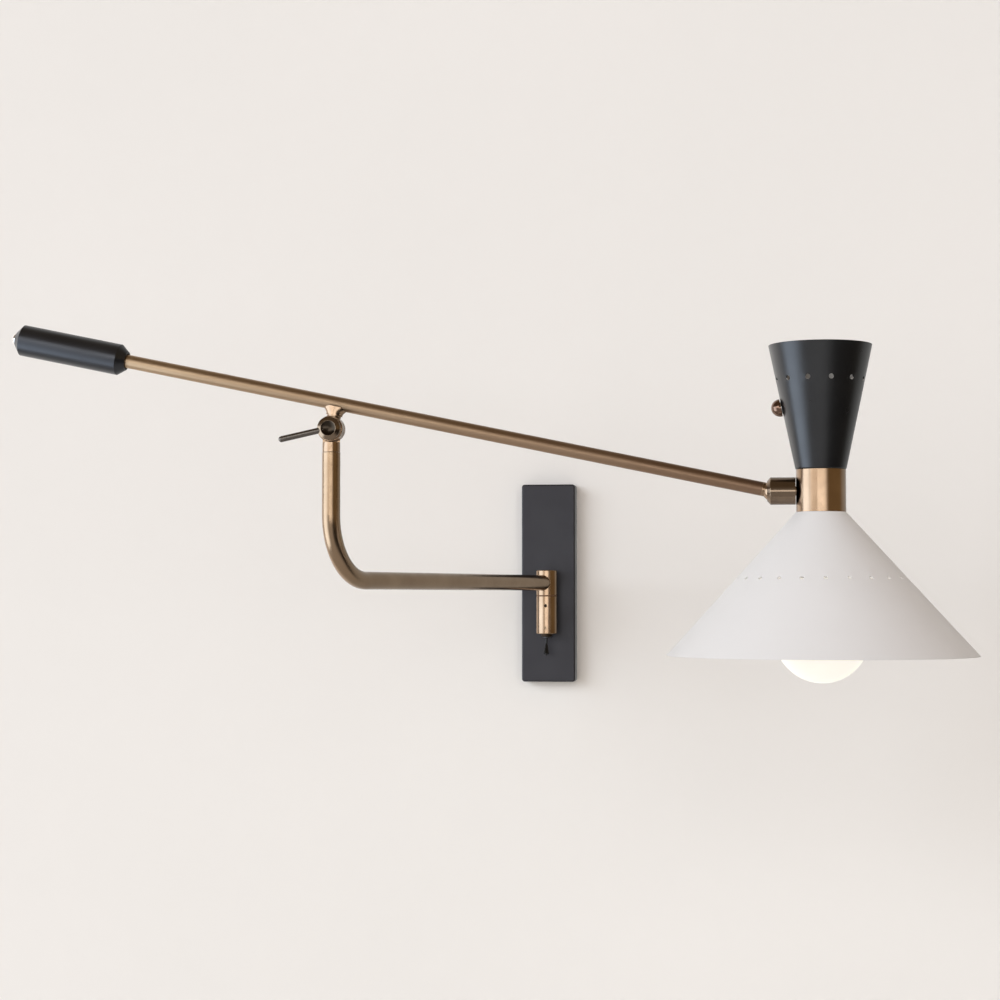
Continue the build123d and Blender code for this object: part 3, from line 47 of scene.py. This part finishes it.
yaw = math.radians(CAMERA_YAW)
pitch = math.radians(CAMERA_PITCH)
camera_data = bpy.data.cameras.new("photo_camera")
camera_data.lens = CAMERA_LENS
camera_data.sensor_width = CAMERA_SENSOR
camera_data.clip_end = CAMERA_REACH
camera = bpy.data.objects.new("photo_camera", camera_data)
scene.collection.objects.link(camera)
camera.location = CAMERA_AT
aim(camera, (-math.sin(yaw) * math.cos(pitch), math.cos(yaw) * math.cos(pitch), math.sin(pitch)))
scene.camera = camera
scene.view_settings.view_transform = "Standard"


# Node materials

# Sockets of a mix node that belong to colours
MIX_FIRST, MIX_SECOND, MIX_RESULT = 6, 7, 2
# The middle part of a noise's range, which is spread over a whole mask
NOISE_SPAN = (0.3, 0.7)
BEVEL_SAMPLES = 6


class Graph:
    """Short forms for building one node tree."""

    def __init__(self, tree):
        self.tree = tree

    def add(self, kind, **settings):
        node = self.tree.nodes.new(kind)
        for key, value in settings.items():
            setattr(node, key, value)
        return node

    def feed(self, socket, value):
        """Links a socket or sets a constant."""
        if isinstance(value, bpy.types.NodeSocket):
            self.tree.links.new(value, socket)
        else:
            socket.default_value = value

    def math(self, operation, first, second=0.0):
        node = self.add("ShaderNodeMath", operation=operation)
        self.feed(node.inputs[0], first)
        self.feed(node.inputs[1], second)
        return node.outputs["Value"]

    def spread(self, value, low, high, new_low=0.0, new_high=1.0, smooth=False):
        """Maps a value from one range to another, held at the ends."""
        node = self.add("ShaderNodeMapRange", interpolation_type="SMOOTHSTEP" if smooth else "LINEAR")
        self.feed(node.inputs["Value"], value)
        node.inputs["From Min"].default_value = low
        node.inputs["From Max"].default_value = high
        node.inputs["To Min"].default_value = new_low
        node.inputs["To Max"].default_value = new_high
        return node.outputs["Result"]

    def blend(self, factor, first, second):
        """Colour mix. Each colour is a socket or three numbers."""
        node = self.add("ShaderNodeMix", data_type="RGBA")
        self.feed(node.inputs["Factor"], factor)
        for place, colour in ((MIX_FIRST, first), (MIX_SECOND, second)):
            self.feed(node.inputs[place], (*colour, 1.0) if isinstance(colour, tuple) else colour)
        return node.outputs[MIX_RESULT]

    def split(self, vector):
        node = self.add("ShaderNodeSeparateXYZ")
        self.feed(node.inputs["Vector"], vector)
        return node.outputs["X"], node.outputs["Y"], node.outputs["Z"]

    def mix_shaders(self, factor, first, second):
        node = self.add("ShaderNodeMixShader")
        self.feed(node.inputs["Fac"], factor)
        self.feed(node.inputs[1], first)
        self.feed(node.inputs[2], second)
        return node.outputs["Shader"]


class Surface(Graph):
    """One node material around a Principled shader."""

    def __init__(self, name):
        self.material = bpy.data.materials.new(name)
        self.material.use_nodes = True
        super().__init__(self.material.node_tree)
        self.shader = self.tree.nodes["Principled BSDF"]
        self.output = self.tree.nodes["Material Output"]
        self.coords = self.add("ShaderNodeTexCoord")

    def noise(self, scale, detail=4.0, roughness=0.5, stretch=None):
        """Fractal noise in the piece's own coordinates, in cycles per metre."""
        node = self.add("ShaderNodeTexNoise")
        node.inputs["Scale"].default_value = scale
        node.inputs["Detail"].default_value = detail
        node.inputs["Roughness"].default_value = roughness
        source = self.coords.outputs["Object"]
        if stretch is not None:
            turn, factors = stretch
            mapping = self.add("ShaderNodeMapping")
            mapping.inputs["Rotation"].default_value = turn
            mapping.inputs["Scale"].default_value = factors
            self.feed(mapping.inputs["Vector"], source)
            source = mapping.outputs["Vector"]
        self.feed(node.inputs["Vector"], source)
        return node.outputs["Fac"]

    def rounded(self, radius):
        """Normal with soft edges of the given radius."""
        node = self.add("ShaderNodeBevel", samples=BEVEL_SAMPLES)
        node.inputs["Radius"].default_value = radius
        return node.outputs["Normal"]

    def edges(self, radius):
        """Mask that is 1 along convex and concave edges."""
        dot = self.add("ShaderNodeVectorMath", operation="DOT_PRODUCT")
        self.feed(dot.inputs[0], self.rounded(radius))
        self.feed(dot.inputs[1], self.add("ShaderNodeNewGeometry").outputs["True Normal"])
        return self.spread(dot.outputs["Value"], low=0.97, high=0.8)

    def bump(self, height, strength, distance, normal):
        node = self.add("ShaderNodeBump")
        node.inputs["Strength"].default_value = strength
        node.inputs["Distance"].default_value = distance
        self.feed(node.inputs["Height"], height)
        self.feed(node.inputs["Normal"], normal)
        return node.outputs["Normal"]

    def clear(self):
        return self.add("ShaderNodeBsdfTransparent").outputs["BSDF"]

    def show(self, shader):
        """Puts another shader in place of the Principled one."""
        self.feed(self.output.inputs["Surface"], shader)

    def set(self, **values):
        for name, value in values.items():
            self.feed(self.shader.inputs[name.replace("_", " ")], value)
        return self.material


# Where the painted shade in a recess begins and where it is fully dark, as shares of its radius
DISH_SHADE_EDGE = (1.08, 0.9)
# Least upward part of a normal that counts as looking up
LOOKS_UP = 0.02

finishes = {}


def metal(name, bright, dull, freckle, edge, rough, stretch=None, dish_shade=None, reflection_fade=None):
    """Aged metal with faint cloudy patina, fine freckles, brighter edges and a fine grain.

    rough is the least and the most roughness. stretch turns and scales the noise of a brushed piece. dish_shade
    is the centre, radius and tone of painted shade in a round recess. reflection_fade is a left and a right
    corner, and the
    tone at the right one: painted reflection, lighter at the left and darker at the right.
    """
    s = Surface(name)
    place = s.coords.outputs["Object"]
    cloud = s.spread(s.noise(scale=38.0, detail=6.0, roughness=0.6, stretch=stretch), low=0.32, high=0.7)
    colour = s.blend(cloud, dull, bright)
    # Painted reflection: the piece is blended from its own tone at the left to a darker tone at the right
    if reflection_fade is not None:
        left, right, painted_reflection_tone = reflection_fade
        colour = s.blend(s.spread(s.split(place)[0], left.x, right.x), colour, painted_reflection_tone)
    spots = s.spread(s.noise(scale=700.0, detail=3.0, roughness=0.55), low=0.63, high=0.74)
    patches = s.spread(s.noise(scale=45.0), low=0.4, high=0.7, new_high=0.35)
    colour = s.blend(s.math("MULTIPLY", spots, patches), colour, freckle)
    wear = s.spread(s.noise(scale=160.0), *NOISE_SPAN, new_low=0.2, new_high=0.9)
    colour = s.blend(s.math("MULTIPLY", s.edges(radius=0.0010), wear), colour, edge)
    # A round recess is painted darker towards its middle, as painted shade
    if dish_shade is not None:
        centre, radius, shade = dish_shade
        across, _, up = s.split(place)
        aside = s.math("SUBTRACT", across, centre.x)
        above = s.math("SUBTRACT", up, centre.z)
        square = s.math("ADD", s.math("MULTIPLY", aside, aside), s.math("MULTIPLY", above, above))
        outer, inner = (share * radius for share in DISH_SHADE_EDGE)
        colour = s.blend(s.spread(s.math("SQRT", square), outer, inner, smooth=True), colour, shade)
    grain = s.noise(scale=2600.0, detail=2.0, stretch=stretch)
    finishes[name] = s.set(
        Base_Color=colour,
        Roughness=s.spread(s.noise(scale=90.0, detail=5.0, stretch=stretch), *NOISE_SPAN, *rough),
        Normal=s.bump(grain, strength=0.03, distance=0.0002, normal=s.rounded(radius=0.0004)),
        Metallic=1.0,
    )


def paint(name, colour, shift, edge, rough, grain, sheen=0.5, tint=(1.0, 1.0, 1.0), inside=None):
    """Sprayed paint with slight colour drift, orange peel and thin worn edges.

    rough is the least and the most roughness, and grain the scale of the orange peel. inside is the tone of faces
    that look up within a cup, a pale lining darkened as painted shade, and the height where they end.
    """
    s = Surface(name)
    drift = s.spread(s.noise(scale=9.0, detail=5.0, roughness=0.55), *NOISE_SPAN)
    tone = s.blend(drift, colour, shift)
    wear = s.spread(s.noise(scale=240.0, detail=5.0, roughness=0.7), low=0.5, high=0.75, new_high=0.8)
    tone = s.blend(s.math("MULTIPLY", s.edges(radius=0.0011), wear), tone, edge)
    # Faces that look up within the cup get the lining's grey: a pale paint darkened as painted shade
    if inside is not None:
        lining_and_painted_shade, rim_height = inside
        facing = s.split(s.coords.outputs["Normal"])[2]
        height = s.split(s.coords.outputs["Object"])[2]
        upward = s.math("GREATER_THAN", facing, LOOKS_UP)
        below_rim = s.math("LESS_THAN", height, rim_height)
        tone = s.blend(s.math("MULTIPLY", upward, below_rim), tone, lining_and_painted_shade)
    peel = s.noise(scale=grain, detail=3.0)
    finishes[name] = s.set(
        Base_Color=tone,
        Roughness=s.spread(s.noise(scale=40.0, detail=6.0), *NOISE_SPAN, *rough),
        Normal=s.bump(peel, strength=0.08, distance=0.0002, normal=s.rounded(radius=0.0006)),
        Metallic=0.0,
        Specular_IOR_Level=sheen,
        Specular_Tint=(*tint, 1.0),
    )


# Finishes of the record's material slots
metal("satin_brass", bright=(0.31, 0.212, 0.14), dull=(0.255, 0.168, 0.105), freckle=(0.11, 0.065, 0.04),
      edge=(0.42, 0.30, 0.20), rough=(0.13, 0.22))
metal("dark_bronze", bright=(0.20, 0.145, 0.10), dull=(0.15, 0.105, 0.075), freckle=(0.06, 0.04, 0.03),
      edge=(0.34, 0.25, 0.17), rough=(0.11, 0.17))
metal("zinc_steel", bright=(0.58, 0.58, 0.57), dull=(0.42, 0.42, 0.43), freckle=(0.22, 0.21, 0.2),
      edge=(0.7, 0.7, 0.7), rough=(0.28, 0.45))
metal("bright_dome", bright=(0.78, 0.75, 0.71), dull=(0.68, 0.65, 0.61), freckle=(0.3, 0.28, 0.26),
      edge=(0.8, 0.78, 0.75), rough=(0.05, 0.12))
metal("bulb_metal", bright=(0.7, 0.7, 0.7), dull=(0.55, 0.55, 0.56), freckle=(0.3, 0.3, 0.3),
      edge=(0.8, 0.8, 0.8), rough=(0.25, 0.4))
paint("black_paint", colour=(0.0132, 0.0120, 0.0137), shift=(0.0173, 0.0160, 0.0182), edge=(0.10, 0.095, 0.09),
      rough=(0.34, 0.44), grain=1500.0, sheen=0.40, tint=(0.86, 0.85, 0.90))
# The black cup is pale inside, up to a thin band under its rim; the grey of that lining is darkened as painted
# shade inside the cup
RIM_BAND = 0.0008
paint("black_shade", colour=(0.0042, 0.0046, 0.0054), shift=(0.0062, 0.0066, 0.0076), edge=(0.06, 0.06, 0.06),
      rough=(0.26, 0.34), grain=1700.0, sheen=0.55, tint=(0.95, 0.94, 0.95),
      inside=((0.36, 0.35, 0.33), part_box("cup")[1].z - RIM_BAND))
paint("white_shade", colour=(0.80, 0.785, 0.765), shift=(0.77, 0.755, 0.735), edge=(0.64, 0.62, 0.59),
      rough=(0.42, 0.56), grain=1700.0, sheen=0.4)
paint("black_plastic", colour=(0.014, 0.014, 0.015), shift=(0.021, 0.021, 0.022), edge=(0.05, 0.05, 0.05),
      rough=(0.32, 0.5), grain=2400.0)
paint("pale_plastic", colour=(0.70, 0.67, 0.60), shift=(0.62, 0.60, 0.54), edge=(0.5, 0.48, 0.44),
      rough=(0.4, 0.6), grain=2400.0)
paint("fibre", colour=(0.26, 0.13, 0.07), shift=(0.20, 0.10, 0.055), edge=(0.32, 0.18, 0.1),
      rough=(0.6, 0.8), grain=3000.0, sheen=0.3)

s = Surface("opal_glass")
finishes["opal_glass"] = s.set(
    Base_Color=s.blend(s.spread(s.noise(scale=30.0), *NOISE_SPAN), (0.55, 0.53, 0.48), (0.58, 0.56, 0.51)),
    Roughness=s.spread(s.noise(scale=120.0, detail=3.0), *NOISE_SPAN, new_low=0.1, new_high=0.18),
    Emission_Color=(1.0, 0.97, 0.88, 1.0),
    Emission_Strength=0.62,
)

# Finishes of single pieces that differ from the rest of their slot
ARM_SLOPE = math.radians(11.85)
BRUSHING = (0.06, 1.0, 1.0)
# The long arm is painted lighter at its left end and darker towards the head, as painted reflection
metal("brushed_brass", bright=(0.46, 0.325, 0.205), dull=(0.38, 0.26, 0.157), freckle=(0.16, 0.10, 0.062),
      edge=(0.50, 0.36, 0.25), rough=(0.38, 0.48), stretch=((0.0, -ARM_SLOPE, 0.0), BRUSHING),
      reflection_fade=(*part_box("long_arm_tube"), (0.22, 0.136, 0.087)))
metal("tube_brass", bright=(0.31, 0.214, 0.138), dull=(0.255, 0.17, 0.104), freckle=(0.11, 0.065, 0.04),
      edge=(0.42, 0.30, 0.20), rough=(0.18, 0.27))
metal("blackened", bright=(0.06, 0.042, 0.026), dull=(0.04, 0.028, 0.02), freckle=(0.02, 0.015, 0.012),
      edge=(0.12, 0.085, 0.055), rough=(0.4, 0.55))
# The clamp screw's recessed head is painted dark in its dish, as painted shade
DISH_SHADE_RADIUS = 0.0066
clamp_low, clamp_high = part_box("clamp_screw")
metal("clamp_bronze", bright=(0.22, 0.16, 0.11), dull=(0.17, 0.12, 0.085), freckle=(0.06, 0.04, 0.03),
      edge=(0.36, 0.27, 0.18), rough=(0.18, 0.28),
      dish_shade=((clamp_low + clamp_high) / 2, DISH_SHADE_RADIUS, (0.032, 0.024, 0.017)))
metal("lever_steel", bright=(0.135, 0.117, 0.102), dull=(0.105, 0.090, 0.078), freckle=(0.06, 0.05, 0.045),
      edge=(0.30, 0.26, 0.22), rough=(0.2, 0.3))
metal("knob_bronze", bright=(0.17, 0.105, 0.074), dull=(0.15, 0.092, 0.065), freckle=(0.13, 0.08, 0.056),
      edge=(0.26, 0.17, 0.12), rough=(0.06, 0.09))
paint("weight_black", colour=(0.0050, 0.0050, 0.0058), shift=(0.0072, 0.0072, 0.0082), edge=(0.08, 0.077, 0.074),
      rough=(0.30, 0.38), grain=1500.0, sheen=0.55, tint=(0.93, 0.94, 1.0))
paint("toggle_black", colour=(0.0035, 0.0034, 0.0036), shift=(0.0050, 0.0048, 0.0050), edge=(0.03, 0.03, 0.03),
      rough=(0.2, 0.3), grain=2400.0, sheen=0.35)

OWN_FINISH = {
    "long_arm_tube": "brushed_brass",
    "lower_arm": "tube_brass",
    "clamp_screw": "clamp_bronze",
    "lever_rod": "lever_steel",
    "switch_knob": "knob_bronze",
    "counterweight": "weight_black",
    "pivot_set_screw": "blackened",
    "toggle_nut": "blackened",
    "toggle_lever": "toggle_black",
}
for entry in frame["record"]["subparts"]:
    name = entry["node"]
    piece = nodes[name]
    piece.data.materials.clear()
    piece.data.materials.append(finishes[OWN_FINISH.get(name, entry["material_slot"])])


# Studio: a wall and a floor

WALL_Y = 0.0006
FLOOR_Z = -1.05
CEILING_Z = 3.0
ROOM = 6.0
PALE = (0.83, 0.80, 0.755)


def panel(name, corners, material):
    """One flat stage sheet through four corners."""
    mesh = bpy.data.meshes.new(name)
    mesh.from_pydata([Vector(c) for c in corners], [], [(0, 1, 2, 3)])
    sheet = bpy.data.objects.new(name, mesh)
    scene.collection.objects.link(sheet)
    sheet.data.materials.append(material)
    return sheet


def one_sided(s):
    """Lets a wall or floor be seen only from inside the room."""
    behind = s.add("ShaderNodeNewGeometry").outputs["Backfacing"]
    s.show(s.mix_shaders(behind, s.shader.outputs["BSDF"], s.clear()))


s = Surface("wall_plaster")
s.set(
    Base_Color=s.blend(s.spread(s.noise(scale=2.2, detail=5.0), *NOISE_SPAN), PALE, (0.81, 0.783, 0.738)),
    Roughness=0.9,
    Specular_IOR_Level=0.1,
    Normal=s.bump(s.noise(scale=260.0), strength=0.05, distance=0.0005, normal=s.rounded(radius=0.001)),
)
one_sided(s)
wall = panel("wall", [(-ROOM, WALL_Y, FLOOR_Z), (ROOM, WALL_Y, FLOOR_Z), (ROOM, WALL_Y, CEILING_Z),
                      (-ROOM, WALL_Y, CEILING_Z)], s.material)
wall.visible_glossy = False

s = Surface("pale_floor")
drift = s.spread(s.noise(scale=1.6, detail=5.0), *NOISE_SPAN)
s.set(Base_Color=s.blend(drift, (0.80, 0.775, 0.735), (0.77, 0.75, 0.71)), Roughness=0.8)
one_sided(s)
floor = panel("floor", [(-ROOM, -ROOM, FLOOR_Z), (ROOM, -ROOM, FLOOR_Z), (ROOM, ROOM, FLOOR_Z),
                        (-ROOM, ROOM, FLOOR_Z)], s.material)
floor.visible_glossy = False

# The room around: a pale backdrop to the camera, a warm even fill for matt surfaces, and for shiny surfaces a dim
# room with a dark corner low on the right, a dark ceiling and the lit wall
FILL = (0.26, 0.195, 0.155)
DIM_LEFT = (0.54, 0.53, 0.52)
DIM_RIGHT = (0.375, 0.28, 0.155)
DIM_LOW = (0.68, 0.66, 0.64)
DARK_CORNER = (0.045, 0.04, 0.033)
OVERHEAD = (0.26, 0.20, 0.135)
WALL_LEFT = (1.40, 1.36, 1.32)
WALL_RIGHT = (0.58, 0.58, 0.56)

# Where one tone gives way to the next, in the parts of a direction to the right, to the wall and up
LEFT_TO_RIGHT = (-0.35, 0.45)
LEVEL_TO_LOW = (-0.05, -0.25)
LEVEL_TO_OVERHEAD = (0.12, 0.6)
CORNER_SIDE = (0.1, 0.6)
CORNER_TOP = (-0.03, -0.13)
CORNER_FOOT = (-0.75, -0.45)
ROOM_TO_WALL = (0.1, 0.5)
ALONG_WALL = (-0.8, 0.2)

world = bpy.data.worlds.new("studio")
scene.world = world
world.use_nodes = True
w = Graph(world.node_tree)
east, north, rise = w.split(w.add("ShaderNodeTexCoord").outputs["Generated"])
room = w.blend(w.spread(east, *LEFT_TO_RIGHT, smooth=True), DIM_LEFT, DIM_RIGHT)
room = w.blend(w.spread(rise, *LEVEL_TO_LOW, smooth=True), room, DIM_LOW)
corner = w.spread(east, *CORNER_SIDE, smooth=True)
for limit in (CORNER_TOP, CORNER_FOOT):
    corner = w.math("MULTIPLY", corner, w.spread(rise, *limit, smooth=True))
room = w.blend(corner, room, DARK_CORNER)
room = w.blend(w.spread(rise, *LEVEL_TO_OVERHEAD, smooth=True), room, OVERHEAD)
lit_wall = w.blend(w.spread(east, *ALONG_WALL, smooth=True), WALL_LEFT, WALL_RIGHT)
room = w.blend(w.spread(north, *ROOM_TO_WALL, smooth=True), room, lit_wall)
path = w.add("ShaderNodeLightPath")
backdrop = w.blend(path.outputs["Is Glossy Ray"], FILL, room)
backdrop = w.blend(path.outputs["Is Camera Ray"], backdrop, PALE)
w.feed(w.tree.nodes["Background"].inputs["Color"], backdrop)


# Lights

# Least share of a sheet's strength, where its noise is lowest
SHEET_DIP = 0.92


def glow_sheet(name, near, far, low, high, strength, colour, soft_edge=None):
    """Upright glowing sheet that only shiny surfaces see, between two places on the floor plan.

    soft_edge gives the two places along X between which the sheet comes in from clear to full.
    """
    s = Surface(name)
    emission = s.add("ShaderNodeEmission")
    dips = s.noise(scale=1.5, detail=3.0)
    s.feed(emission.inputs["Color"], (*colour, 1.0))
    s.feed(emission.inputs["Strength"], s.spread(dips, *NOISE_SPAN, SHEET_DIP * strength, strength))
    shown = emission.outputs["Emission"]
    if soft_edge is not None:
        across = s.split(s.coords.outputs["Object"])[0]
        shown = s.mix_shaders(s.spread(across, *soft_edge, smooth=True), s.clear(), shown)
    s.show(shown)
    sheet = panel(name, [(*near, low), (*far, low), (*far, high), (*near, high)], s.material)
    sheet.visible_camera = False
    sheet.visible_diffuse = False
    sheet.visible_transmission = False
    sheet.visible_shadow = False


# The front sheets stand in one plane and meet left of the middle
FRONT_Y = -5.0
MEETING_X = -1.2
LEFT_X = -5.6
RIGHT_X = 3.4

glow_sheet("window", near=(-0.68, -1.637), far=(-1.9, -0.25), low=-1.0, high=0.5, strength=4.85,
           colour=(0.745, 0.86, 1.0), soft_edge=(-0.68, -1.2))
glow_sheet("between", near=(MEETING_X, FRONT_Y), far=(LEFT_X, FRONT_Y), low=-0.2, high=0.45, strength=1.5,
           colour=(1.0, 0.95, 0.87))
glow_sheet("front_glow", near=(RIGHT_X, FRONT_Y), far=(MEETING_X, FRONT_Y), low=-0.4, high=0.58, strength=3.8,
           colour=(0.95, 0.98, 1.0), soft_edge=(RIGHT_X, 1.2))
glow_sheet("high_glow", near=(MEETING_X, FRONT_Y), far=(LEFT_X, FRONT_Y), low=0.45, high=2.2, strength=3.8,
           colour=(0.96, 0.98, 1.0))

LAMPS_AIM = Vector((0.0, -0.2, 0.05))


def lamp(name, bearing, height, distance, size, watts, colour):
    """Soft box for matt surfaces only, at a bearing to the left in degrees from straight in front."""
    data = bpy.data.lights.new(name, "AREA")
    data.shape = "RECTANGLE"
    data.size, data.size_y = size
    data.energy = watts
    data.color = colour
    obj = bpy.data.objects.new(name, data)
    scene.collection.objects.link(obj)
    turn = math.radians(bearing)
    obj.location = (-distance * math.sin(turn), -distance * math.cos(turn), height)
    aim(obj, LAMPS_AIM - obj.location)
    obj.visible_camera = False
    obj.visible_glossy = False


lamp("key", bearing=45.0, height=6.0, distance=23.0, size=(18.6, 12.0), watts=3140.0, colour=(0.773, 0.878, 1.0))
lamp("wide", bearing=0.0, height=1.5, distance=9.0, size=(11.0, 6.0), watts=435.0, colour=(0.98, 0.985, 1.0))

# The lit bulb brightens the inside of the shade, through a globe that casts no shadow
GLOW_WATTS = 0.085
GLOW_COLOUR = (1.0, 0.96, 0.88)
GLOW_RADIUS = 0.01
bulb_low, bulb_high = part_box("bulb_globe")
glow_data = bpy.data.lights.new("bulb_glow", "POINT")
glow_data.energy = GLOW_WATTS
glow_data.color = GLOW_COLOUR
glow_data.shadow_soft_size = GLOW_RADIUS
bulb_glow = bpy.data.objects.new("bulb_glow", glow_data)
scene.collection.objects.link(bulb_glow)
bulb_glow.parent = nodes["bulb_globe"]
bulb_glow.location = (bulb_low + bulb_high) / 2
bulb_glow.visible_camera = False
bulb_glow.visible_glossy = False
nodes["bulb_globe"].visible_shadow = False
